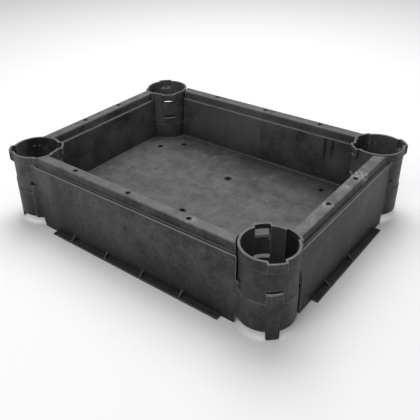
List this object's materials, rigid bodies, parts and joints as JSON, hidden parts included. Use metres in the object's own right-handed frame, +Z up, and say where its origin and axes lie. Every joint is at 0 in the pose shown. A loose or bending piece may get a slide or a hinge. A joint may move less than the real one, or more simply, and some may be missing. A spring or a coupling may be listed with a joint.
{
  "type": "drain inspection chamber",
  "caption": "Open rectangular plastic chamber tier of interlocking hollow wall panels with round corner sleeves and tongued top edges round a ribbed drain floor.",
  "frame": {"origin": "centre of the tier's footprint on the ground", "axes": "+X along the long walls, +Y along the short walls, +Z up out of the open top"},
  "size_m": [0.723, 0.568, 0.17],
  "materials": {
    "walls": "injection-moulded recycled polypropylene, satin",
    "floor": "injection-moulded recycled polypropylene, flow-marked satin"
  },
  "bodies": {
    "root": {"front_wall": "walls", "right_wall": "walls", "back_wall": "walls", "left_wall": "walls", "floor_plate": "floor"}
  },
  "joints": []
}
